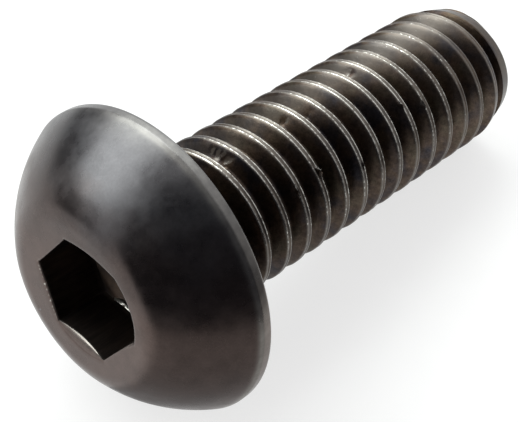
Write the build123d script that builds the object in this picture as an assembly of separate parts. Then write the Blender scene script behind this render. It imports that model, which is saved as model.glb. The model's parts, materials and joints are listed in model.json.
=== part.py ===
from build123d import *
from build123d.topology import SkipClean
import os
from math import atan, cos, degrees, radians, sin, sqrt, tan

os.makedirs("parts", exist_ok=True)

# Button head socket screw, M4 x 0.7 x 12, in millimetres. It is one piece of steel: a headed blank with a
# punched socket and a rolled thread. It is built on the Z axis, bearing face at z = 0 and tip up, and is
# laid down at the end as it rests on a table, on its rim and on the end of its thread.

# thread and shank
CREST_D = 3.95          # over the crests of an M4 thread
PITCH = 0.7
CREST_FLAT = 0.17       # the rolled crest, a little wider than the basic profile's
ROOT_FLAT = 0.08
FLANK_ANGLE = 60.0      # between the two flanks
LENGTH = 12.0           # bearing face to tip
UNDERHEAD_R = 0.2       # fillet between shank and bearing face
PLAIN_NECK = 0.23       # left between that fillet and the first full groove
RUNOUT_TURN = 150.0     # degrees over which the groove rises out at the neck
TIP_TAPER = 1.1         # length of the pointed end, over which the last crests fade
TIP_D = 3.35            # across its end face, a little over the thread's root
SHANK_ARCS = 18         # arcs that the shank's circle is drawn in, so each face of the crest stays short

# head
HEAD_D = 7.6
HEAD_H = 2.05
DOME_R = 4.2
LAND_D = 4.3            # flat top of the dome, round the socket
LAND_EDGE_R = 0.9       # rounding between dome and flat
RIM_H = 0.26            # straight band round the rim
RIM_EDGE_R = 0.13       # rounding between dome and band
RIM_BREAK = 0.06        # broken edge under the band

# socket
SOCKET_AF = 2.5         # across the flats, for a 2.5 key
SOCKET_DEPTH = 1.4      # down to where the flats end
SOCKET_TURN = 32.0      # from the side that lies on top to a corner of the hexagon
PUNCH_ANGLE = 120.0     # cone that the punch leaves below the flats
MOUTH_INSET = 0.035     # how far the countersink's circle stays inside the corners
MOUTH_ANGLE = 90.0

CREST_R = CREST_D / 2
GROOVE_W = PITCH - CREST_FLAT
FLANK_SLOPE = 1 / tan(radians(FLANK_ANGLE / 2))
GROOVE_DEPTH = (GROOVE_W - ROOT_FLAT) / 2 * FLANK_SLOPE
GROOVE_START = UNDERHEAD_R + PLAIN_NECK + GROOVE_W / 2
CUTTER_OUT = 0.1        # how far the groove's cutter stands out of the shank


def head():
    """The head, revolved: bearing face, rim band, dome and flat top, with the fillet that meets the shank."""
    rim, land, dome_h = HEAD_D / 2, LAND_D / 2, HEAD_H - RIM_H
    with BuildPart() as part:
        with BuildSketch(Plane.XZ):
            with BuildLine():
                Polyline((0, -HEAD_H), (0, UNDERHEAD_R), (CREST_R, UNDERHEAD_R))
                RadiusArc((CREST_R, UNDERHEAD_R), (CREST_R + UNDERHEAD_R, 0), -UNDERHEAD_R)
                Polyline((CREST_R + UNDERHEAD_R, 0), (rim - RIM_BREAK, 0), (rim, -RIM_BREAK), (rim, -RIM_H))
                RadiusArc((rim, -RIM_H), (land, -RIM_H - dome_h), DOME_R)
                Line((land, -HEAD_H), (0, -HEAD_H))
            make_face()
        revolve(axis=Axis.Z)
        rings = part.edges().filter_by(GeomType.CIRCLE)
        fillet(rings.filter_by(lambda ring: abs(ring.center().Z + RIM_H) < 1e-6), RIM_EDGE_R)
        fillet(part.edges().filter_by(GeomType.CIRCLE).sort_by(Axis.Z)[0], LAND_EDGE_R)
    return part.part


def socket():
    """What the punch takes out of the head: hexagon, cone below it and countersink at the mouth."""
    corner = SOCKET_AF / sqrt(3)
    mouth = corner - MOUTH_INSET
    mouth_depth = mouth / tan(radians(MOUTH_ANGLE / 2))
    point_depth = SOCKET_AF / 2 / tan(radians(PUNCH_ANGLE / 2))
    with BuildPart() as punch:
        with BuildSketch(Plane.XY.offset(-HEAD_H)):
            RegularPolygon(corner, 6, rotation=SOCKET_TURN)
        extrude(amount=SOCKET_DEPTH)
        with Locations((0, 0, -HEAD_H + SOCKET_DEPTH + point_depth / 2)):
            Cone(SOCKET_AF / 2, 0, point_depth)
        with Locations((0, 0, -HEAD_H + mouth_depth / 2)):
            Cone(mouth, 0, mouth_depth)
    return punch.part


def groove_cutters():
    """The thread's groove as two solids: the even helix, and the end that widens out of the shank at the neck."""
    half, root, flare = GROOVE_W / 2, ROOT_FLAT / 2, CUTTER_OUT / FLANK_SLOPE
    with BuildSketch(Plane((CREST_R, 0, GROOVE_START), x_dir=(1, 0, 0), z_dir=(0, -1, 0))) as section:
        with BuildLine():
            Polyline((CUTTER_OUT, -half - flare), (-GROOVE_DEPTH, -root), (-GROOVE_DEPTH, root),
                     (CUTTER_OUT, half + flare), close=True)
        make_face()
    vee = section.sketch.faces()[0]
    turns = int((LENGTH + GROOVE_W - GROOVE_START) / PITCH) + 1
    helix = Wire([Helix(PITCH, PITCH, CREST_R, center=(0, 0, GROOVE_START + PITCH * turn)).edge()
                  for turn in range(turns)])
    rise = PITCH * RUNOUT_TURN / 360
    cone = atan((GROOVE_DEPTH + CUTTER_OUT / 2) / rise)
    runout = Helix(PITCH / cos(cone), rise, CREST_R, center=(0, 0, GROOVE_START), direction=(0, 0, -1),
                   cone_angle=degrees(cone)).edge().rotate(Axis.Z, 180)
    return [Solid.sweep(vee, path, is_frenet=True) for path in (helix, runout)]


def shank():
    """The shank from the fillet's top to the tip, threaded and pointed."""
    arc = 360 / SHANK_ARCS
    circle = Wire([Edge.make_circle(CREST_R, start_angle=arc * (i + 0.5), end_angle=arc * (i + 1.5))
                   for i in range(SHANK_ARCS)])
    blank = Solid.extrude(Face(circle), Vector(0, 0, LENGTH - UNDERHEAD_R)).moved(Location((0, 0, UNDERHEAD_R)))
    slope = (CREST_R - TIP_D / 2) / TIP_TAPER
    with BuildPart() as pointing:
        with BuildSketch(Plane.XZ):
            Polygon((CREST_R + slope, LENGTH - TIP_TAPER - 1), (CREST_R + slope, LENGTH + 1),
                    (TIP_D / 2 - slope, LENGTH + 1), align=None)
        revolve(axis=Axis.Z)
    for cutter in groove_cutters() + [pointing.part]:
        blank = blank.cut(cutter)
    return blank


def screw():
    """The whole screw, with the crest's short faces kept apart."""
    drive_end = head() - socket()
    with SkipClean():
        return shank().fuse(drive_end)


def lie_down(part):
    """Turn the tip to +X and lower it until rim and thread both touch z = 0, centred under the screw's box."""
    lean = atan((HEAD_D / 2 - CREST_R) / (LENGTH - TIP_TAPER + RIM_BREAK))
    on_side = Plane((0, 0, 0), x_dir=(sin(lean), 0, cos(lean)), z_dir=(cos(lean), 0, -sin(lean)))
    lying = part.moved(on_side.location)
    box = lying.bounding_box()
    return lying.moved(Location((-box.center().X, 0, -box.min.Z)))


piece = lie_down(screw())
piece.label = "screw"
export_step(piece, "parts/screw.step")
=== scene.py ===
import json
import math

import bmesh
import bpy
import numpy as np
from bpy.props import FloatProperty, FloatVectorProperty, IntProperty, PointerProperty, StringProperty
from mathutils import Matrix, Quaternion, Vector


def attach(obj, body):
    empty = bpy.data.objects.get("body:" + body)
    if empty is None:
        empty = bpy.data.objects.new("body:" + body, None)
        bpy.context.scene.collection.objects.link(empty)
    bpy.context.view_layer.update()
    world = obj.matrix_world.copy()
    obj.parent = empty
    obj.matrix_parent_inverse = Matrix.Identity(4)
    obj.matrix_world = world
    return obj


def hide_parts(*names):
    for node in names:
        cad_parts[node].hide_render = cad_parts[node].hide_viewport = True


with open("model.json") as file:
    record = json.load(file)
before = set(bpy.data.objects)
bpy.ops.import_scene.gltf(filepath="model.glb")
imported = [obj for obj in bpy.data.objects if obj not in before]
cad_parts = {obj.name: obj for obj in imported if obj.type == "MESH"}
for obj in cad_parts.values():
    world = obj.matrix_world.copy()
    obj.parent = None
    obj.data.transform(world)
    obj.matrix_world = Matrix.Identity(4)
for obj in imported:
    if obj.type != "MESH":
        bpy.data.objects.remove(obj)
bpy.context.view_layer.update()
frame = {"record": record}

bl_info = {
    "name": "Button head socket screw",
    "version": (1, 0, 0),
    "blender": (4, 5, 0),
    "location": "3D View > Sidebar > Screw",
    "description": "Builds a black button head socket screw, its thread and a small studio round it",
    "category": "Object",
}

# The screw is built on its own axis, in millimetres: x runs from the bearing face to the tip, z is the side
# that lies on top, and a turn goes from z towards -y, which is the way a right-hand thread advances. It is
# then scaled to metres and laid down on the head's rim and the end of the thread. Where a bare number is a
# distance it is in millimetres, and where it is a spread of turns it is in radians.
MM = 0.001
TURN = 2 * math.pi
MOUNTS = {mount["name"]: mount for mount in frame["record"]["mounts"]}


# ---------------------------------------------------------------- sizes and colours a user would change

def size(name, mm, description):
    """A length in millimetres, shown in the scene's own unit."""
    return FloatProperty(name=name, description=description, default=mm * MM, min=0.0, precision=5,
                         unit="LENGTH")


def angle(name, degrees, description):
    """An angle given in degrees."""
    return FloatProperty(name=name, description=description, default=math.radians(degrees), subtype="ANGLE")


def colour(name, code, description):
    """An sRGB hex colour such as #4a474a."""
    return StringProperty(name=name, description=description, default=code, maxlen=7)


class ScrewThread(bpy.types.PropertyGroup):
    crest_d: size("Crest diameter", 3.95, "Across the thread's crests")
    pitch: size("Pitch", 0.7, "From crest to crest")
    crest_flat: size("Crest width", 0.17, "Flat of the rolled crest")
    root_flat: size("Root width", 0.08, "Flat at the bottom of the groove, from which its depth follows")
    root_r: size("Root radius", 0.09, "Rounding at the bottom of the groove")
    length: size("Length", 12.0, "Bearing face to tip")
    underhead_r: size("Underhead fillet", 0.2, "Radius between shank and bearing face")
    plain_neck: size("Plain neck", 0.23, "Between that fillet and the first full groove")
    runout_turn: angle("Run-out", 150.0, "Turn over which the groove rises out at the neck")
    tip_taper: size("Point length", 1.1, "Length of the pointed end")
    tip_d: size("Point diameter", 3.35, "Across the end face")
    seam_depth: size("Crest seam", 0.014, "Depth of the seam that rolling leaves along the crest")
    columns: IntProperty(name="Columns", description="Mesh columns round the shank", default=150, min=24)


class ScrewHead(bpy.types.PropertyGroup):
    head_d: size("Head diameter", 7.6, "Across the rim")
    head_h: size("Head height", 2.05, "Bearing face to flat top")
    dome_r: size("Dome radius", 4.2, "Radius of the dome's section")
    land_d: size("Land diameter", 4.3, "Flat top before its edge is rounded")
    land_edge_r: size("Land edge", 0.9, "Rounding between dome and flat top")
    rim_h: size("Rim height", 0.26, "Straight band round the rim")
    rim_edge_r: size("Rim edge", 0.13, "Rounding between dome and band")
    rim_break: size("Rim break", 0.06, "Broken edge under the band")
    socket_af: size("Socket width", 2.62, "Across the flats, a loose fit on a 2.5 key")
    socket_depth: size("Socket depth", 1.42, "Down to where the flats end")
    socket_turn: angle("Socket turn", 33.0, "From the top side to a corner of the hexagon")
    socket_aside: size("Socket aside", 0.12, "How far the punch stood off centre, towards -y")
    socket_above: size("Socket above", 0.08, "How far the punch stood off centre, towards the top side")
    punch_angle: angle("Punch angle", 120.0, "Cone that the punch leaves below the flats")
    mouth_edge: size("Mouth edge", 0.012, "Least width of the mouth's bevel")
    columns: IntProperty(name="Columns per flat", description="Mesh columns for each flat of the socket",
                         default=40, min=8)


class ScrewFinish(bpy.types.PropertyGroup):
    oxide_cool: colour("Oxide, cool", "#525153", "The bluish side of the black oxide")
    oxide_warm: colour("Oxide, warm", "#5b4f4b", "The brownish side of the black oxide")
    oxide_dark: colour("Oxide, deep", "#514947", "Where the oxide is thickest")
    # this pale colour also paints highlights on the dome, on the rim and its band, and on the mouth's bevel
    rubbed_edge: colour("Rubbed edge", "#a3a09a", "Where the oxide is thin on the head's edges")
    socket_black: colour("Socket wall", "#584e49", "Oily oxide on the socket's walls")
    socket_brown: colour("Socket floor", "#6b5c50", "Brown oxide on the cone that the punch left")
    flank_black: colour("Flank, black", "#343236", "Thicker oxide in the grooves")
    flank_brown: colour("Flank, brown", "#4c4139", "Oil-stained oxide on the thread's flanks")
    flank_olive: colour("Flank, olive", "#4d463c", "Thin oxide on the flanks")
    # this grey also paints the sheen on the thread's top side
    crest_grey: colour("Crest grey", "#69645f", "Oxide rubbed thin on the crests")
    # this steel also paints glints on the burr and in the thread's marks
    bare_steel: colour("Bare steel", "#c4c2bc", "Steel where the oxide has worn off")
    pale_speck: colour("Pale speck", "#77757a", "Specks of thin oxide on the head")
    socket_deep: colour("Socket wall, deep", "#3c3735", "The darker drag lines on the socket's walls")
    # this brown also paints shade on the point, its end face, the crests towards +y and in the marks
    oil_brown: colour("Oil", "#2b221b", "Oil that has dried in on the thread")


class ScrewStage(bpy.types.PropertyGroup):
    floor_colour: colour("Floor", "#989898", "Matt floor, which camera and reflections see as white")
    floor_fibre: colour("Floor fibre", "#9c9c9c", "Its paler fibres")
    camera_at: FloatVectorProperty(name="Camera", description="Where the camera stands", size=3, precision=6,
                                   default=(-0.0163716, -0.0142878, 0.0262245), subtype="TRANSLATION",
                                   unit="LENGTH")
    camera_azimuth: angle("Camera azimuth", -46.63, "Zero looks along +y")
    camera_elevation: angle("Camera elevation", 48.95, "Above the horizon")
    lens: FloatProperty(name="Lens", description="Focal length for a 36 mm sensor", default=88.675,
                        unit="CAMERA")
    daylight: colour("Daylight", "#f4faf7", "Colour of the window's light")
    window_glow: FloatProperty(name="Window", description="Radiance of the large soft lamp", default=4.3)
    curtain_glow: FloatProperty(name="Curtain", description="Radiance of the dimmer lamp beside it",
                                default=1.8)
    room_glow: FloatProperty(name="Room", description="Radiance of the room that lights the floor",
                             default=0.4)
    card_tint: colour("Dark card", "#f0f0ff", "Colour of the little light that the dark cards give")
    card_glow: FloatProperty(name="Card", description="Radiance of the dark cards", default=0.08)


# ---------------------------------------------------------------- meshes

def srgb(code):
    """Linear red, green, blue and alpha of an sRGB hex colour."""
    parts = [int(code.lstrip("#")[i:i + 2], 16) / 255 for i in (0, 2, 4)]
    return [x / 12.92 if x <= 0.04045 else ((x + 0.055) / 1.055) ** 2.4 for x in parts] + [1.0]


def lying_frame(head_h):
    """The matrix from the screw's own axis, in millimetres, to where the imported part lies, in metres."""
    axis = Vector(MOUNTS["bearing_face"]["axis"]).normalized()
    side = Vector((0, 0, 1)).cross(axis).normalized()
    origin = Vector(MOUNTS["hex_socket"]["pos_m"]) + axis * head_h
    turned = Matrix((axis, side, axis.cross(side))).transposed().to_4x4()
    return Matrix.Translation(origin) @ turned @ Matrix.Scale(MM, 4)


def ring_mesh(points, joined=lambda index: np.roll(index, -1, axis=1)):
    """Vertices and quads of a grid of rows x columns. What each row's columns are joined to is a rolled copy,
    which closes the ring, unless another rule is given."""
    rows, columns = points.shape[:2]
    index = np.arange(rows * columns).reshape(rows, columns)
    across = joined(index)
    own = index[:, :across.shape[1]]
    quads = np.stack([own[:-1], across[:-1], across[1:], own[1:]], -1).reshape(-1, 4)
    return points.reshape(-1, 3), quads


def fan(centre, columns):
    """Triangles from the last ring to the point with the given index, which comes right after it."""
    ring = np.arange(centre - columns, centre)
    return np.stack([ring, np.roll(ring, -1), np.full(columns, centre)], -1)


def off_turn(turn, degrees):
    """How far turns lie from the one given in degrees, in radians and the short way round."""
    return (turn - math.radians(degrees) + math.pi) % TURN - math.pi


def bell(away, spread, power=2):
    """A factor that is one where nothing is away, and fades over the given spread. A higher power fades
    later."""
    return np.exp(-(away / spread) ** power)


def build_piece(name, vertices, faces, materials, wear, slots=None, sharp=35.0):
    """A mesh object laid down in metres, with doubles merged, smooth faces and sharp edges kept. Its wear
    says how far the oxide is rubbed, and also carries painted highlights, sheen and shade: 0 is untouched,
    from about 1 on the steel is bare, and below 0 it is dark, with oil and with painted shade. It rides on
    the part's one body."""
    mesh = bpy.data.meshes.new(name)
    mesh.from_pydata([tuple(v) for v in vertices], [], [tuple(f) for f in faces])
    for material in materials:
        mesh.materials.append(material)
    if slots is not None:
        mesh.polygons.foreach_set("material_index", slots)
    mesh.attributes.new("wear", "FLOAT", "POINT").data.foreach_set("value", wear)
    bm = bmesh.new()
    bm.from_mesh(mesh)
    bmesh.ops.remove_doubles(bm, verts=bm.verts, dist=2e-4)
    bmesh.ops.dissolve_degenerate(bm, edges=bm.edges, dist=1e-5)
    bmesh.ops.recalc_face_normals(bm, faces=bm.faces)
    bm.to_mesh(mesh)
    bm.free()
    mesh.transform(lying_frame(bpy.context.scene.screw_head.head_h))
    mesh.shade_smooth()
    mesh.set_sharp_from_angle(angle=math.radians(sharp))
    piece = bpy.data.objects.new(name, mesh)
    bpy.context.scene.collection.objects.link(piece)
    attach(piece, "root")
    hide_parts("screw")


def waves(points, rng, count, lengths):
    """Smooth random bumps, mostly between -1 and 1, over points in space: sine waves of the given lengths in
    millimetres."""
    total = np.zeros(points.shape[:-1])
    for _ in range(count):
        direction = rng.normal(size=3)
        direction *= TURN / rng.uniform(*lengths) / np.linalg.norm(direction)
        total += np.sin(points @ direction + rng.uniform(0, TURN))
    return total / math.sqrt(count) / 1.5


def arc(centre, radius, start, end, steps):
    """Points (height, radius) on an arc, with its first point left out."""
    turn = np.linspace(start, end, steps + 1)[1:]
    return [(centre[0] + radius * math.cos(a), centre[1] + radius * math.sin(a)) for a in turn]


# ---------------------------------------------------------------- the head and its socket

def head_section(head, thread):
    """The head's outline as (height over the bearing face, radius), from the fillet at the shank to the
    flat top, and the radius at which the flat top begins."""
    rim, top, crest_r = head.head_d / 2 / MM, head.head_h / MM, thread.crest_d / 2 / MM
    dome_r, land = head.dome_r / MM, head.land_d / 2 / MM
    fillet, rim_break = thread.underhead_r / MM, head.rim_break / MM
    band, edge, land_edge = head.rim_h / MM, head.rim_edge_r / MM, head.land_edge_r / MM
    # the dome's centre, from the two points that its arc joins
    low, high = np.array([band, rim]), np.array([top, land])
    chord = high - low
    normal = np.array([-chord[1], chord[0]]) / np.linalg.norm(chord)
    normal *= np.sign(normal.sum())
    dome = (low + high) / 2 - normal * math.sqrt(dome_r ** 2 - (np.linalg.norm(chord) / 2) ** 2)
    # the centres of the two roundings, each a fillet's radius inside both lines that it joins
    rim_c = np.array([dome[0] + math.sqrt((dome_r - edge) ** 2 - (rim - edge - dome[1]) ** 2), rim - edge])
    land_h = top - land_edge
    land_c = np.array([land_h, dome[1] + math.sqrt((dome_r - land_edge) ** 2 - (land_h - dome[0]) ** 2)])

    def turn(centre):
        """The direction in which another centre lies from the dome's."""
        return math.atan2(*(centre - dome)[::-1])

    # the broken edge under the band, whose two corners are dulled
    near, soft, off = 0.02, 0.006, 0.004
    points = [(-fillet, crest_r)]
    points += arc((-fillet, crest_r + fillet), fillet, -math.pi / 2, 0, 6)
    points += [(0.0, r) for r in np.linspace(crest_r + fillet, rim - rim_break - near, 8)[1:]]
    points += [(soft, rim - rim_break + off), (rim_break - off, rim - soft), (rim_break + near, rim)]
    points += [(h, rim) for h in np.linspace(rim_break + near, rim_c[0], 4)[1:]]
    points += arc(rim_c, edge, math.pi / 2, turn(rim_c), 6)
    points += arc(dome, dome_r, turn(rim_c), turn(land_c), 44)
    points += arc(land_c, land_edge, turn(land_c), 0, 16)
    return points, land_c[1]


OUTSIDE, WALLS, CONE = range(3)     # the head's material slots: its outside, the socket's walls and the cone

# the bevel at the mouth, in millimetres, from the first corner round: its width at each corner, and how
# much its width and its depth bulge out between that corner and the next
MOUTH_BEVELS = ((0.135, 0.20, 0.20), (0.08, -0.04, -0.04), (0.0, 0.20, 0.09),
                (0.02, 0.01, 0.01), (0.02, 0.0, 0.0), (0.02, 0.10, 0.10))
TORN_AT = 244           # the turn, in degrees, round which the mouth is torn

# where the dome is painted a little paler, as painted highlights: the turn in degrees and the spread round it
# in radians, the distance in from the rim and the spread across it in millimetres, the least height, and how
# much
RUBBED_PATCHES = ((-10, 0.3, 0.05, 0.16, 0.1, 0.16), (-106, 0.32, 0.4, 0.35, 0.2, 0.32))

# a burr that the punch pushed up at the foot of one wall: its ends along the wall and its middle below the
# socket's axis, and its section as (across, height over the foot, wear), with a slope on top whose wear
# paints it as bright bare steel, a painted glint
BURR_ENDS = (-0.38, 0.28)
BURR_MIDDLE = -1.10
BURR_SECTION = ((-0.035, -0.15, 0.0), (-0.016, 0.06, 1.4), (0.016, 0.022, 1.4), (0.035, -0.15, 0.0))


def rim_wear(head, height, radius, turn):
    """How far the oxide is rubbed off round one ring of the head's outside, and where highlights are painted
    on it.
    """
    inward = head.head_d / 2 / MM - radius
    edge_h = (head.rim_h + 0.35 * head.rim_edge_r) / MM
    # the rim is rubbed pale, least on the top side; this paler side also paints the rim's highlight
    rubbed = np.clip(0.55 + 0.6 * np.cos(off_turn(turn, 105)), 0.12, 1.0)
    rubbed = rubbed * bell(height - edge_h, 0.07) * (inward < 0.25)
    # the straight band is painted paler on the side that faces up and outwards, a painted highlight
    band = bell(off_turn(turn, 48), 0.9) * bell(height - 0.17, 0.13, 4)
    rubbed = np.maximum(rubbed, 0.55 * band * (inward < 0.08))
    for degrees, spread, inset, across, least, much in RUBBED_PATCHES:
        patch = bell(off_turn(turn, degrees), spread) * bell(inward - inset, across)
        rubbed = rubbed + much * patch * (height > least)
    return rubbed


def mouth_bevel(head, step, turn, hexagon):
    """The radius of the mouth round the hexagon, the depth of its bevel, how far that rounds over towards
    its inner edge, and where the mouth is torn."""
    per_flat = head.columns
    # the bevel is uneven, and nowhere quite sharp
    least = head.mouth_edge / MM * (0.7 + 0.5 * np.sin(step * 1.7) * np.sin(step * 0.61))
    corner, wider, deeper = (np.array(each) for each in zip(*MOUTH_BEVELS))
    between = np.interp(step, np.arange(7) * per_flat, (*corner, corner[0]))
    arch = 1 - (step % per_flat / per_flat * 2 - 1) ** 2
    width, sink = (np.maximum(between + np.repeat(each, per_flat) * arch, least) for each in (wider, deeper))
    torn = bell(off_turn(turn, TORN_AT), 0.46, 4)
    torn = torn * np.clip(np.random.default_rng(9).uniform(-0.7, 1, len(step)), 0, 1)
    # where it is wider than deep it rounds over towards its inner edge
    bend = 1 + 2 * np.clip((width - sink) / 0.15, 0, 1)
    return hexagon + width + 0.02 * torn, sink, bend, torn


def head_push(head, points, height, radius, mouth):
    """How far each point of the head stands out, in millimetres: cold heading leaves the dome a few microns
    uneven, the rim is a little scuffed, and the mouth's lip is dulled."""
    rng = np.random.default_rng(4)
    dome = np.clip((height - head.rim_h / MM) / 0.3, 0, 1) * np.clip((radius - mouth - 0.05) / 0.3, 0, 1)
    push = 0.0030 * waves(points, rng, 14, (1.6, 3.4)) + 0.0007 * waves(points, rng, 12, (0.5, 0.9)) - 0.004
    scuffed = bell(radius - head.head_d / 2 / MM, 0.1) * np.clip(height / 0.05, 0, 1)
    push = push * dome - scuffed * (0.0022 + 0.003 * np.clip(waves(points, rng, 16, (0.5, 1.6)), 0, 1))
    lip = bell(radius - mouth, 0.02) * (height > head.head_h / MM - 0.03)
    return push - lip * 0.004 * (1 + waves(points, rng, 20, (0.12, 0.5)))


def punch_burr(foot):
    """The burr's points, faces and wear. Foot is where the socket's walls end on the screw's axis."""
    along = np.linspace(*BURR_ENDS, 27)
    # it fades out at both ends, and is half as tall at a gap
    tall = np.clip((0.34 - np.abs(along + 0.05)) / 0.05, 0, 1) * (1 - 0.5 * bell(along + 0.03, 0.04))
    middle = BURR_MIDDLE - 0.04 * (along / 0.3) ** 2
    ridge = np.stack([np.stack([foot - rise * tall, -along, middle + beside], -1)
                      for beside, rise, _ in BURR_SECTION], 1)
    vertices, quads = ring_mesh(ridge)
    return vertices, quads, np.tile([worn for _, _, worn in BURR_SECTION], len(along))


def head_mesh(head, thread):
    """The revolved head, the countersunk hexagon and the cone below it, as one grid of rings."""
    section, land_r = head_section(head, thread)
    per_flat = head.columns
    columns = 6 * per_flat
    step = np.arange(columns)
    turn = head.socket_turn + TURN * step / columns
    top, flat, depth = head.head_h / MM, head.socket_af / 2 / MM, head.socket_depth / MM
    slope = 1 / math.tan(head.punch_angle / 2)
    aside, above = head.socket_aside / MM, head.socket_above / MM
    hexagon = flat / np.cos((step % per_flat) * TURN / columns - math.pi / 6)
    mouth, sink, bend, torn = mouth_bevel(head, step, turn, hexagon)

    rings, wear, slots = [], [], []

    def ring(height, radius, worn=0.0, slot=OUTSIDE, off=1.0):
        """Adds a ring round the socket's centre, or round the head's axis where off is 0."""
        rings.append((height + np.zeros(columns), radius + np.zeros(columns), off + np.zeros(columns)))
        wear.append(worn + np.zeros(columns))
        slots.append(slot)

    for height, radius in section:
        ring(height, radius, rim_wear(head, height, radius, turn), off=0.0)
    for share in (0.25, 0.5, 0.75, 1.0):
        ring(top, land_r + (mouth + 0.05 - land_r) * share, off=share)
    # the lip, where the flat top rounds over into the bevel
    lip = 0.010
    ring(top - 0.003, mouth + 0.022, 1.6 * torn)
    ring(top - lip, mouth + 0.002, 0.05 + 1.8 * torn)
    # keys rub the mouth most on the side turned away from the top; this paler side also paints the glint
    # along the bevel's inner edge
    rub = np.clip(np.cos(turn - math.radians(183)), 0, 1) ** 3
    for share in (0.15, 0.4, 0.65, 0.85, 0.97):
        ring(top - lip - sink * share ** bend, mouth + (hexagon - mouth) * share,
             0.05 + (0.1 + 0.75 * rub) * share ** 3)
    # the edge from the bevel to the walls, then the walls and the cone
    edge = 0.026
    ring(top - 0.014 - sink, hexagon + 0.001, 0.2 + 0.8 * rub)
    ring(top - edge - sink, hexagon, 0.15, WALLS)
    for share in (0.03, 0.08, 0.2, 0.35, 0.5, 0.65, 0.8, 0.9, 0.97, 1.0):
        ring(top - sink - edge - (depth - sink - edge) * share, hexagon, 0.3 * (share > 0.96), WALLS)
    for share in (0.995, 0.93, 0.8, 0.65, 0.5, 0.36, 0.22, 0.1, 0.03):
        ring(top - depth - flat * (1 - share) * slope, flat * share, 0.0, CONE)

    height, radius, off = (np.array([each[i] for each in rings]) for i in range(3))
    points = np.stack([-height, -radius * np.sin(turn) - off * aside,
                       radius * np.cos(turn) + off * above], -1)
    outward = 0.7 * np.stack([-np.ones(columns), -np.sin(turn), np.cos(turn)], -1)
    points += outward * head_push(head, points, height, radius, mouth)[..., None]

    vertices, quads = ring_mesh(points)
    faces = [*quads.tolist(), *fan(len(vertices), columns).tolist()]
    vertices = np.vstack([vertices, [[-(top - depth - flat * slope), -aside, above]]])
    # each quad takes the slot of its deeper ring
    of_face = np.repeat(slots[1:], columns).tolist() + [CONE] * columns
    burr, quads, burr_wear = punch_burr(depth - top)
    faces += (quads + len(vertices)).tolist()
    of_face += [OUTSIDE] * len(quads)
    return np.vstack([vertices, burr]), faces, of_face, np.concatenate([np.ravel(wear), [0.0], burr_wear])


# ---------------------------------------------------------------- the thread

def crest_rows(thread):
    """One pitch of the thread's section: offsets from the crest's middle, depths below it, and the oxide's
    wear."""
    half, slope = thread.crest_flat / 2 / MM, math.sqrt(3)
    pitch, root = thread.pitch / MM, thread.root_flat / MM
    deep = (pitch / 2 - half - root / 2) * slope
    seam = thread.seam_depth / MM
    # the seam between the crest's two rubbed ridges, then the ridge and its rounded edge
    side = [(0.0, seam, 0.15), (0.016, 0.7 * seam, 0.18), (0.030, 0.15 * seam, 0.3), (0.042, 0.0, 0.5),
            (0.054, 0.0012, 1.0), (half - 0.019, 0.0045, 0.85), (half - 0.008, 0.0105, 0.35),
            (half + 0.004, 0.020, 0.15), (half + 0.018, 0.036, 0.04)]
    side += [(half + d / slope, d, 0.0) for d in (0.085, 0.15, 0.215, 0.27)]
    # the root is an arc that both flanks meet
    arc_r = thread.root_r / MM
    bottom = deep + root / 2 * slope - arc_r
    side += [(pitch / 2 - arc_r * math.sin(a), bottom + arc_r * (math.cos(a) - 1), 0.0)
             for a in np.radians((60, 45, 30, 15))]
    side = [row for row in side if row[0] < pitch / 2]
    rows = [(-s, d, w) for s, d, w in side[:0:-1]] + side + [(pitch / 2, bottom, 0.0)]
    return np.array(rows).T, deep


# marks listed as (along the axis, turn in degrees from the top side, length, width, depth), in millimetres;
# those with a depth below zero are burrs that stand up
MARKS = ((2.23, -12, 0.05, 0.09, 0.04), (2.22, -7, 0.05, 0.09, 0.05), (2.24, -2, 0.05, 0.09, 0.04),
         (2.20, 1, 0.05, 0.08, 0.05), (2.27, 5, 0.05, 0.09, 0.04), (5.04, 4, 0.05, 0.10, 0.05),
         (4.32, -2, 0.05, 0.09, 0.04), (7.13, -10, 0.05, 0.12, 0.04), (3.16, 51, 0.05, 0.09, 0.025),
         (8.05, 47, 0.05, 0.09, 0.03), (3.97, 46, 0.05, 0.10, -0.030), (4.03, 48, 0.05, 0.09, -0.03),
         (7.33, 38, 0.04, 0.10, -0.028), (5.37, 61, 0.04, 0.08, -0.015))
NICKS = 70              # small random ones besides


def each_mark(marks, x, turn, crest_r):
    """Goes through the marks: the depth of each, and from 0 to 1 how much of it every point takes."""
    for mark_x, mark_turn, long, wide, depth in marks:
        yield depth, np.exp(-((x - mark_x) / long) ** 2 - (off_turn(turn, mark_turn) * crest_r / wide) ** 2)


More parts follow.
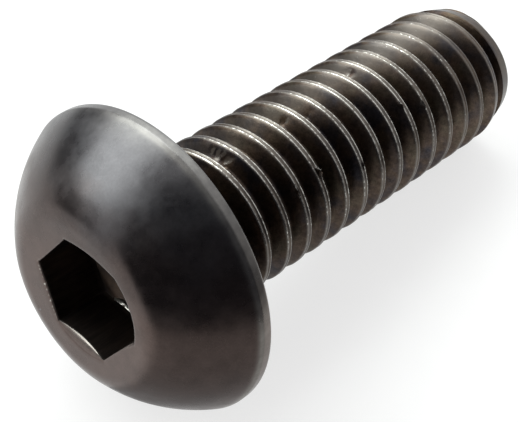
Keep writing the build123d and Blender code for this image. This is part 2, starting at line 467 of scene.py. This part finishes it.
def thread_wear(at, turn, rub, crest, scars, cone, length, rng):
    """How far the oxide is rubbed off the thread, and where it is greyed for a painted sheen and darkened for
    painted shade. The crest is where it was rolled flat, scars are the placed marks, and the cone is how far
    the pointed end is cut back."""
    x = at[..., 0]
    # the crests are rubbed in patches, and less towards the tip and on the side that lies down
    less = 0.8 * np.clip((x - 7.0) / 4, 0, 1)
    worn = rub * np.clip(1.15 - less + 0.3 * waves(at, rng, 12, (0.8, 2.5)), 0, 1.2)
    from_top = off_turn(turn, 0)
    worn = worn * (1 - 0.5 * np.clip((np.abs(from_top) - 0.8) / 0.8, 0, 1))
    # on the side towards +y the crests are darkened, a painted shade over the light that they catch
    unrubbed = bell(from_top + 0.9, 0.5)
    worn = worn * (1 - 0.8 * unrubbed)
    # the oxide is greyed a little all round, and most on the top side as a painted sheen, more so towards the
    # tip
    handled = 0.24 * bell(off_turn(turn, -22), 0.5) + 0.10
    worn = worn + handled * np.clip(0.3 + x / length, 0, 1.3) - 0.03
    worn = worn - np.where(crest, 0.45, 0.0) * unrubbed
    # the point is darkened, a painted shade over the light that it mirrors
    worn = np.where(cone > 0.02, -0.3 * np.clip(cone / 0.12, 0, 1), worn)
    # the placed marks show steel in places and are darker elsewhere: partly real wear, partly painted shade
    # and painted glints in the dents
    glints = np.clip(waves(at, np.random.default_rng(5), 24, (0.1, 0.25)), 0, 1)
    return worn + scars * (1.9 * glints - 0.4)


END_DISH = 0.028        # how far the end face's middle lies in, in millimetres
END_WEAR = -0.18        # it is a little darker, painted shade


def end_face(edge, turn, length):
    """The end face's rings, slightly dished as the wire was cut, from the last ring of the thread inwards."""
    rings, phases = [], np.random.default_rng(3).uniform(0, TURN, 3)
    for share, dish in ((1.0, 0.0), (0.985, 0.0), (0.9, 0.012), (0.6, 0.02), (0.3, 0.026), (0.1, END_DISH)):
        lean = 0.008 * (share < 0.95) * share * sum(np.cos((k + 1) * turn + phases[k]) for k in range(3)) / 3
        rings.append(np.stack([length - dish - np.abs(lean), -edge * share * np.sin(turn),
                               edge * share * np.cos(turn)], -1))
    return ring_mesh(np.array(rings))


def thread_mesh(thread):
    """The shank from the fillet under the head to the end face: rows of the grid follow the helix."""
    (offsets, depths, rubs), deep = crest_rows(thread)
    pitch, crest_r, length = thread.pitch / MM, thread.crest_d / 2 / MM, thread.length / MM
    half, neck = thread.crest_flat / 2 / MM, thread.underhead_r / MM
    groove_start = neck + thread.plain_neck / MM + (pitch - 2 * half) / 2
    columns, step = thread.columns, len(offsets)
    turn = TURN * np.arange(columns) / columns
    first = math.floor((neck - pitch - groove_start) / pitch)
    last = math.ceil((length - groove_start) / pitch)
    turns = np.repeat(np.arange(first, last + 1), step)[:, None]
    offset, depth, rub = (np.tile(each, last - first + 1)[:, None] for each in (offsets, depths, rubs))
    x = groove_start + pitch / 2 + offset + pitch * turns + pitch * turn / TURN
    at = np.stack([x, -crest_r * np.sin(turn) + 0 * x, crest_r * np.cos(turn) + 0 * x], -1)

    # how far the groove's bottom is lifted at the neck, on the side of the crest that the row lies on
    groove_turn = turn + TURN * (turns + (offset > 0))
    lift = np.clip(-groove_turn / thread.runout_turn, 0, 1) * (deep + 0.05)
    formed = np.clip(groove_turn / 1.2 + 0.3, 0, 1)
    rng = np.random.default_rng(7)
    seam = np.where(np.abs(offset) < 0.035, 1 + 0.55 * waves(at, rng, 10, (0.3, 1.1)), 1.0)
    inner = np.abs(offset) < half - 0.021
    cut = np.where(inner, depth * formed * seam, np.clip(depth - lift, 0, None))

    # rolled crests waver by a few microns, and carry small random nicks besides the listed marks
    crest = np.abs(offset) < half + 0.025
    cut = cut + np.where(crest, 0.0035 * (1 + waves(at, rng, 20, (0.12, 0.6))) * formed, 0.0)
    cut = cut + 0.002 * (1 + waves(at, rng, 12, (0.3, 1.2))) * formed
    nicks = [(rng.uniform(1.0, length - 0.6), rng.uniform(0, 360), rng.uniform(0.03, 0.06),
              rng.uniform(0.04, 0.1), rng.uniform(0.008, 0.022)) for _ in range(NICKS)]
    scars = 0.0
    for deeper, mark in each_mark(MARKS, x, turn, crest_r):
        cut, scars = cut + deeper * mark, scars + mark
    for deeper, mark in each_mark(nicks, x, turn, crest_r):
        cut = cut + deeper * mark
    # the placed marks are jagged inside
    scars = np.clip(scars, 0, 1)
    cut = cut + 0.06 * scars * np.random.default_rng(2).uniform(-1, 0.7, cut.shape)

    # the pointed end takes the crests down, which end in soft edges on it
    taper, soft = thread.tip_taper / MM, 0.012
    cone = np.clip(x - (length - taper), 0, None) * (crest_r - thread.tip_d / 2 / MM) / taper
    cut = np.where(cone > 0, np.maximum(cut, cone) + soft * np.exp(-np.abs(cut - cone) / soft) * 0.5, cut)
    worn = thread_wear(at, turn, rub * formed, crest, scars, cone, length, rng)

    # the grid starts a little inside the head, and ends in a rounded edge at the face
    hidden, end_r = 0.05, 0.09
    x = np.clip(x, neck - hidden, length)
    over = np.clip(x - (length - end_r), 0, end_r)
    radius = crest_r - cut - (end_r - np.sqrt(end_r ** 2 - over ** 2))
    radius = np.where(x <= neck, crest_r, radius)
    points = np.stack([x, -radius * np.sin(turn), radius * np.cos(turn)], -1)
    rows = len(points)

    def joined(index):
        """Each row's last column meets the row one pitch further on."""
        return np.concatenate([index[:, 1:], index[np.minimum(np.arange(rows) + step, rows - 1), :1]], axis=1)

    vertices, faces = ring_mesh(points, joined)
    # rows past either end were laid flat on it, which leaves faces with no length there
    faces = faces[np.ptp(vertices[faces][..., 0], axis=1) > 1e-9]
    edge = radius[np.argmax(x >= length - 1e-9, axis=0), np.arange(columns)]
    end, end_faces = end_face(edge, turn, length)
    centre = len(vertices) + len(end)
    faces = [*faces.tolist(), *(end_faces + len(vertices)).tolist(), *fan(centre, columns).tolist()]
    worn = np.append(worn, np.full(len(end) + 1, END_WEAR))
    return np.vstack([vertices, end, [[length - END_DISH, 0, 0]]]), faces, worn


# ---------------------------------------------------------------- materials

def add(tree, kind, settings=None, **inputs):
    """Adds a node. Settings are its own properties, and each input is a value or another node's output."""
    node = tree.nodes.new(kind)
    for key, value in (settings or {}).items():
        setattr(node, key, value)
    for key, value in inputs.items():
        socket = node.inputs[int(key[1:])] if key[0] == "_" else node.inputs[key.replace("_", " ")]
        if isinstance(value, bpy.types.NodeSocket):
            tree.links.new(value, socket)
        else:
            socket.default_value = value
    return node


def new_material(name):
    """An empty material and its node tree."""
    material = bpy.data.materials.new(name)
    material.use_nodes = True
    material.node_tree.nodes.clear()
    return material, material.node_tree


def ramp(tree, factor, stops):
    """A colour ramp through (position, hex colour or grey value) stops."""
    node = add(tree, "ShaderNodeValToRGB", _0=factor)
    elements = node.color_ramp.elements
    while len(elements) < len(stops):
        elements.new(0.5)
    for element, (position, value) in zip(elements, stops):
        element.position = position
        element.color = srgb(value) if isinstance(value, str) else (value, value, value, 1.0)
    return node.outputs["Color"]


def axis_coordinates(tree):
    """Where a point is on the screw as it was built, in millimetres along its own axis."""
    laid = lying_frame(bpy.context.scene.screw_head.head_h)
    world = add(tree, "ShaderNodeTexCoord").outputs["Object"]
    return add(tree, "ShaderNodeMapping", {"vector_type": "TEXTURE"}, Vector=world, Location=laid.translation,
               Rotation=laid.to_euler(), Scale=laid.to_scale()).outputs[0]


def noise(tree, place, scale, detail, roughness):
    """Noise whose scale counts features in a millimetre."""
    return add(tree, "ShaderNodeTexNoise", Vector=place, Scale=scale, Detail=detail,
               Roughness=roughness).outputs[0]


def smooth_step(tree, value, low, high, to_low=0.0, to_high=1.0):
    """A value that goes softly from one end to the other while another rises from low to high."""
    return add(tree, "ShaderNodeMapRange", {"interpolation_type": "SMOOTHSTEP"}, Value=value, From_Min=low,
               From_Max=high, To_Min=to_low, To_Max=to_high).outputs[0]


def mix_colour(tree, factor, low, high):
    """One colour where the factor is 0, the other where it is 1."""
    return add(tree, "ShaderNodeMix", {"data_type": "RGBA"}, _0=factor, _6=low, _7=high).outputs[2]


def shade(tree, tint, by):
    """A colour multiplied by another, which may be lighter than white."""
    return add(tree, "ShaderNodeMix", {"data_type": "RGBA", "blend_type": "MULTIPLY"}, _0=1.0, _6=tint,
               _7=by).outputs[2]


def wear_of(tree):
    """How far the oxide is rubbed off, as the mesh says."""
    return add(tree, "ShaderNodeAttribute", {"attribute_name": "wear"}).outputs["Fac"]


def metal(tree, tint, rough, bump):
    """Ends a material as bare metal, whose oxide is only a tint and a roughness."""
    shader = add(tree, "ShaderNodeBsdfPrincipled", Base_Color=tint, Metallic=1.0, Roughness=rough,
                 Normal=bump.outputs[0])
    add(tree, "ShaderNodeOutputMaterial", Surface=shader.outputs[0])


def black_oxide_headed(finish):
    """Hot black oxide on cold-headed alloy steel, left oily: a satin, nearly black metal whose thin oxide
    drifts between blue-grey and brown, with a fine grain from pickling, and paler where the rim and the mouth
    are rubbed and where highlights are painted."""
    material, tree = new_material("black_oxide_on_cold_headed_steel")
    place = axis_coordinates(tree)
    # the tint drifts over patches of 1 to 3 mm, from brown at the bottom to blue-grey on the top side; its
    # change with height is partly painted, standing for the warm light mirrored below and the cool light
    # mirrored above
    height = add(tree, "ShaderNodeSeparateXYZ", _0=place).outputs["Z"]
    patches = add(tree, "ShaderNodeMath", {"operation": "MULTIPLY_ADD"},
                  _0=noise(tree, place, 0.55, 3.0, 0.55), _1=2.4, _2=height)
    drift = add(tree, "ShaderNodeMapRange", Value=patches.outputs[0], From_Min=1.5, From_Max=4.6).outputs[0]
    tint = ramp(tree, drift, [(0.1, finish.oxide_warm), (0.5, finish.oxide_dark), (0.9, finish.oxide_cool)])
    # pickled grain is about 0.01 mm; drawn at 0.05 mm, the finest that shows
    grain, mottle = noise(tree, place, 20.0, 2.0, 0.6), noise(tree, place, 3.5, 4.0, 0.62)
    tint = shade(tree, tint, ramp(tree, mottle, [(0.3, 0.93), (0.7, 1.07)]))
    tint = shade(tree, tint, ramp(tree, grain, [(0.3, 0.93), (0.7, 1.07)]))
    # specks 0.03 to 0.06 mm across, one every millimetre or so
    cells = add(tree, "ShaderNodeTexVoronoi", Vector=place, Scale=1.3)
    speck = add(tree, "ShaderNodeMath", {"operation": "LESS_THAN"}, _0=cells.outputs["Distance"], _1=0.035)
    tint = mix_colour(tree, speck.outputs[0], tint, srgb(finish.pale_speck))
    # rubbed edges pale in patches, and steel shows where they are torn; the same wear also paints highlights
    # on the dome, the rim's band and the mouth's bevel, and a glint on the burr
    wear = wear_of(tree)
    rubbed = add(tree, "ShaderNodeMath", {"operation": "MULTIPLY"}, _0=wear,
                 _1=smooth_step(tree, mottle, 0.2, 0.8, 0.45, 0.85))
    tint = mix_colour(tree, rubbed.outputs[0], tint, srgb(finish.rubbed_edge))
    tint = mix_colour(tree, smooth_step(tree, wear, 0.9, 1.3), tint, srgb(finish.bare_steel))
    # oil and handling leave it duller and glossier in patches of about a millimetre
    cloud = noise(tree, place, 1.3, 3.0, 0.65)
    tint = shade(tree, tint, ramp(tree, cloud, [(0.32, 0.84), (0.68, 1.16)]))
    rough = smooth_step(tree, cloud, 0.3, 0.7, 0.24, 0.35)
    metal(tree, tint, rough, add(tree, "ShaderNodeBump", Strength=0.45, Distance=0.0000006, Height=grain))
    return material


def black_oxide_punched(name, finish, dark, light, rough, streak):
    """Black oxide in a punched socket: browner and duller, where oil stays. The punch's drag lines run
    along the axis, so the streak says how many features there are in a millimetre along it and across."""
    material, tree = new_material(name)
    place = axis_coordinates(tree)
    # drag lines about 0.1 mm apart across, and several times longer
    lines = add(tree, "ShaderNodeVectorMath", {"operation": "MULTIPLY"}, _0=place, _1=streak)
    drag = noise(tree, lines.outputs[0], 1.0, 3.0, 0.6)
    tint = ramp(tree, drag, [(0.3, dark), (0.7, light)])
    tint = mix_colour(tree, wear_of(tree), tint, srgb(finish.rubbed_edge))
    metal(tree, tint, rough, add(tree, "ShaderNodeBump", Strength=0.4, Distance=0.000006, Height=drag))
    return material


def black_oxide_rolled(finish):
    """Black oxide on a rolled thread: brown-black flanks, mottled with oil, and crests rubbed grey with two
    broken lines of bright steel along their ridges."""
    material, tree = new_material("black_oxide_on_rolled_thread")
    place = axis_coordinates(tree)
    # oil lies in blotches of about a millimetre, mottled at 0.15 mm; the grain is as fine as shows
    blotch, mottle = noise(tree, place, 1.1, 3.0, 0.6), noise(tree, place, 7.0, 3.0, 0.65)
    grain = noise(tree, place, 28.0, 2.0, 0.6)
    tint = ramp(tree, blotch, [(0.35, finish.flank_black), (0.52, finish.flank_brown),
                               (0.68, finish.flank_olive)])
    # it is darker near the head and lighter towards the tip
    along = add(tree, "ShaderNodeSeparateXYZ", _0=place).outputs["X"]
    share = add(tree, "ShaderNodeMapRange", Value=along, From_Min=1.0, From_Max=11.5).outputs[0]
    tint = shade(tree, tint, ramp(tree, share, [(0.0, 0.8), (1.0, 1.45)]))
    tint = shade(tree, tint, ramp(tree, mottle, [(0.28, 0.6), (0.72, 1.35)]))
    tint = shade(tree, tint, ramp(tree, grain, [(0.3, 0.85), (0.7, 1.15)]))
    # below zero the wear darkens it with oil and with painted shade; above, it greys the crest and paints the
    # sheen on the top side, and then bares the steel
    wear = wear_of(tree)
    tint = mix_colour(tree, smooth_step(tree, wear, 0.04, 0.33, 0.0, 0.85), tint, srgb(finish.crest_grey))
    tint = mix_colour(tree, smooth_step(tree, wear, -0.3, -0.06, 0.6, 0.0), tint, srgb(finish.oil_brown))
    # the steel is bared in a broken line, at scuffs of under 0.1 mm
    scuff = noise(tree, place, 13.0, 2.0, 0.7)
    patchy = add(tree, "ShaderNodeMath", {"operation": "MULTIPLY_ADD"}, _0=scuff, _1=2.2, _2=wear)
    bare = smooth_step(tree, patchy.outputs[0], 1.75, 2.25)
    tint = mix_colour(tree, bare, tint, srgb(finish.bare_steel))
    rough = smooth_step(tree, bare, 0.0, 1.0, 0.31, 0.26)
    bump = add(tree, "ShaderNodeBump", Strength=0.5, Distance=0.000006, Height=mottle)
    bump = add(tree, "ShaderNodeBump", Strength=0.4, Distance=0.0000015, Height=grain, Normal=bump.outputs[0])
    metal(tree, tint, rough, bump)
    return material


# ---------------------------------------------------------------- operators

class SCREW_OT_head(bpy.types.Operator):
    """Build the domed head with its countersunk hexagon socket"""
    bl_idname = "screw.head"
    bl_label = "Build head"

    def execute(self, context):
        scene, finish = context.scene, context.scene.screw_finish
        vertices, faces, slots, wear = head_mesh(scene.screw_head, scene.screw_thread)
        walls = black_oxide_punched("black_oxide_on_socket_walls", finish, finish.socket_deep,
                                    finish.socket_black, 0.38, (1.2, 10.0, 10.0))
        floor = black_oxide_punched("black_oxide_on_socket_floor", finish, finish.socket_black,
                                    finish.socket_brown, 0.5, (6.0, 6.0, 6.0))
        build_piece("screw_head", vertices, faces, [black_oxide_headed(finish), walls, floor], wear, slots)
        return {"FINISHED"}


class SCREW_OT_thread(bpy.types.Operator):
    """Build the threaded shank with its run-out, worn crests and pointed end"""
    bl_idname = "screw.thread"
    bl_label = "Build thread"

    def execute(self, context):
        scene = context.scene
        vertices, faces, wear = thread_mesh(scene.screw_thread)
        build_piece("screw_thread", vertices, faces, [black_oxide_rolled(scene.screw_finish)], wear,
                    sharp=50.0)
        return {"FINISHED"}


def stage_mesh(name, vertices, faces, material):
    """A mesh object that is no part of the screw."""
    mesh = bpy.data.meshes.new(name)
    mesh.from_pydata([tuple(v) for v in vertices], [], [tuple(f) for f in faces])
    mesh.materials.append(material)
    thing = bpy.data.objects.new(name, mesh)
    bpy.context.scene.collection.objects.link(thing)
    return thing


def soft_card(name, centre, radius, azimuths, elevations, fades, depth, material, lean=0.0):
    """A dark card bent round the screw as part of a sphere, which only reflections show. Its cover falls
    off towards its sides over the given fades, in degrees, so that no edge shows in the metal. It can lean,
    so that its sides turn on by that share of the height lost."""
    columns, rows, upright_at = 60, 30, 60
    across, up = np.meshgrid(np.linspace(*azimuths, columns + 1), np.linspace(*elevations, rows + 1))
    cover = np.full(across.shape, depth)
    for value, (low, high), sides in ((across, azimuths, fades[:2]), (up, elevations, fades[2:])):
        for away, fade in zip((value - low, high - value), sides):
            if fade:
                step = np.clip(away / fade, 0, 1)
                cover = cover * step * step * (3 - 2 * step)
    across, up = np.radians(across + lean * (upright_at - up)), np.radians(up)
    points = np.array(centre) + radius * np.stack([np.cos(up) * np.cos(across), np.cos(up) * np.sin(across),
                                                   np.maximum(np.sin(up), 0.001)], -1)
    vertices, quads = ring_mesh(points, lambda index: index[:, 1:])
    card = stage_mesh(name, vertices, quads, material)
    layer = card.data.attributes.new("cover", "FLOAT", "POINT")
    layer.data.foreach_set("value", cover.ravel())
    card.visible_camera = card.visible_diffuse = card.visible_shadow = False
    card.visible_transmission = card.visible_volume_scatter = False


def soft_lamp(name, azimuth, elevation, wide, high, glow, tint, away=0.4, roll=0.0):
    """An area lamp that fills the given angles, in degrees, as the screw sees it, with the given radiance. It
    stands the given way off, in metres, and is rolled by some degrees."""
    lamp = bpy.data.lights.new(name, "AREA")
    lamp.shape = "RECTANGLE"
    lamp.size, lamp.size_y = (2 * away * math.tan(math.radians(span) / 2) for span in (wide, high))
    lamp.energy = glow * math.pi * lamp.size * lamp.size_y
    lamp.color = srgb(tint)[:3]
    turn, up = math.radians(azimuth), math.radians(elevation)
    towards = Vector((math.cos(up) * math.cos(turn), math.cos(up) * math.sin(turn), math.sin(up)))
    thing = bpy.data.objects.new(name, lamp)
    thing.location = towards * away
    facing = towards.to_track_quat("Z", "Y") @ Quaternion((0, 0, 1), math.radians(roll))
    thing.rotation_euler = facing.to_euler()
    bpy.context.scene.collection.objects.link(thing)


def seen_rays(tree):
    """One for rays from the camera, from reflections and through glass, and zero for those that carry
    light."""
    rays = add(tree, "ShaderNodeLightPath")
    seen = rays.outputs["Is Camera Ray"]
    for kind in ("Is Glossy Ray", "Is Transmission Ray"):
        either = add(tree, "ShaderNodeMath", {"operation": "MAXIMUM"}, _0=seen, _1=rays.outputs[kind])
        seen = either.outputs[0]
    return seen


class SCREW_OT_stage(bpy.types.Operator):
    """Set up the white floor, the dark cards round the screw, the window and the room, and the camera"""
    bl_idname = "screw.stage"
    bl_label = "Build stage"

    def execute(self, context):
        scene, stage = context.scene, context.scene.screw_stage
        # matt white paper with fibres of 0.3 mm, whose last bit of white only camera and reflections see
        paper, tree = new_material("matt_white_paper")
        lift = add(tree, "ShaderNodeMath", {"operation": "MULTIPLY"}, _0=seen_rays(tree), _1=0.7)
        fibres = add(tree, "ShaderNodeTexNoise", Scale=3000.0, Detail=2.0)
        white = ramp(tree, fibres.outputs[0], [(0.3, stage.floor_colour), (0.7, stage.floor_fibre)])
        matt = add(tree, "ShaderNodeBsdfPrincipled", Base_Color=white, Roughness=0.9,
                   Emission_Color=srgb("#ffffff"), Emission_Strength=lift.outputs[0])
        add(tree, "ShaderNodeOutputMaterial", Surface=matt.outputs[0])
        reach = 1.5
        stage_mesh("floor", [(-reach, -reach, 0), (reach, -reach, 0), (reach, reach, 0), (-reach, reach, 0)],
                   [(0, 1, 2, 3)], paper)

        # dark cards for the black metal to reflect: one round the camera, an apron below it, and a low sill
        # under the window
        card, tree = new_material("dark_card")
        cover = add(tree, "ShaderNodeAttribute", {"attribute_name": "cover"}).outputs["Fac"]
        dark = add(tree, "ShaderNodeEmission", Color=srgb(stage.card_tint), Strength=stage.card_glow)
        clear = add(tree, "ShaderNodeBsdfTransparent")
        both = add(tree, "ShaderNodeMixShader", _0=cover, _1=clear.outputs[0], _2=dark.outputs[0])
        add(tree, "ShaderNodeOutputMaterial", Surface=both.outputs[0])
        foot = (MOUNTS["hex_socket"]["pos_m"][0], 0, 0)
        soft_card("dark_card_front", foot, 0.017, azimuths=(-196, 0), elevations=(-20, 88),
                  fades=(14, 90, 26, 10), depth=1.0, material=card, lean=0.25)
        soft_card("dark_card_apron", foot, 0.0165, azimuths=(-172, -50), elevations=(-90, -5),
                  fades=(30, 30, 0, 20), depth=0.55, material=card)
        soft_card("dark_card_sill", foot, 0.040, azimuths=(66, 158), elevations=(2, 35),
                  fades=(18, 18, 8, 10), depth=0.8, material=card)

        soft_lamp("window", azimuth=96, elevation=51, wide=78, high=37, glow=stage.window_glow,
                  tint=stage.daylight, roll=-16)
        soft_lamp("curtain", azimuth=36, elevation=36, wide=50, high=46, glow=stage.curtain_glow,
                  tint=stage.daylight, away=0.5)

        # the room: white where it is seen or mirrored, dimmer where it lights
        world = bpy.data.worlds.new("room")
        world.use_nodes = True
        tree = world.node_tree
        tree.nodes.clear()
        glow = add(tree, "ShaderNodeMapRange", Value=seen_rays(tree), From_Min=0.0, From_Max=1.0,
                   To_Min=stage.room_glow, To_Max=1.0)
        sky = add(tree, "ShaderNodeBackground", Color=srgb("#ffffff"), Strength=glow.outputs[0])
        add(tree, "ShaderNodeOutputWorld", Surface=sky.outputs[0])
        scene.world = world

        lens = bpy.data.cameras.new("camera")
        lens.sensor_width, lens.sensor_fit, lens.lens = 36.0, "HORIZONTAL", stage.lens
        lens.clip_start, lens.clip_end = 0.002, 10.0
        camera = bpy.data.objects.new("camera", lens)
        camera.location = stage.camera_at
        across, up = stage.camera_azimuth, stage.camera_elevation
        back = Vector((math.sin(across) * math.cos(up), -math.cos(across) * math.cos(up), math.sin(up)))
        camera.rotation_euler = back.to_track_quat("Z", "Y").to_euler()
        scene.collection.objects.link(camera)
        scene.camera = camera
        scene.view_settings.view_transform = "Standard"
        return {"FINISHED"}


class SCREW_PT_panel(bpy.types.Panel):
    """Sizes, finish and studio of the screw"""
    bl_idname = "SCREW_PT_panel"
    bl_label = "Button head screw"
    bl_space_type = "VIEW_3D"
    bl_region_type = "UI"
    bl_category = "Screw"

    def draw(self, context):
        layout = self.layout
        scene = context.scene
        for group, operator in ((scene.screw_head, "screw.head"), (scene.screw_thread, "screw.thread"),
                                (scene.screw_finish, None), (scene.screw_stage, "screw.stage")):
            box = layout.box()
            for name in group.__annotations__:
                box.prop(group, name)
            if operator:
                box.operator(operator)


GROUPS = {"screw_thread": ScrewThread, "screw_head": ScrewHead, "screw_finish": ScrewFinish,
          "screw_stage": ScrewStage}
CLASSES = (*GROUPS.values(), SCREW_OT_head, SCREW_OT_thread, SCREW_OT_stage, SCREW_PT_panel)


def register():
    """Add the classes and hang their settings on the scene."""
    for each in CLASSES:
        bpy.utils.register_class(each)
    for name, group in GROUPS.items():
        setattr(bpy.types.Scene, name, PointerProperty(type=group))


def unregister():
    """Take both off again."""
    for name in GROUPS:
        delattr(bpy.types.Scene, name)
    for each in reversed(CLASSES):
        bpy.utils.unregister_class(each)


def main():
    """Build the screw and its stage."""
    register()
    bpy.ops.screw.head()
    bpy.ops.screw.thread()
    bpy.ops.screw.stage()


if __name__ == "__main__":
    main()
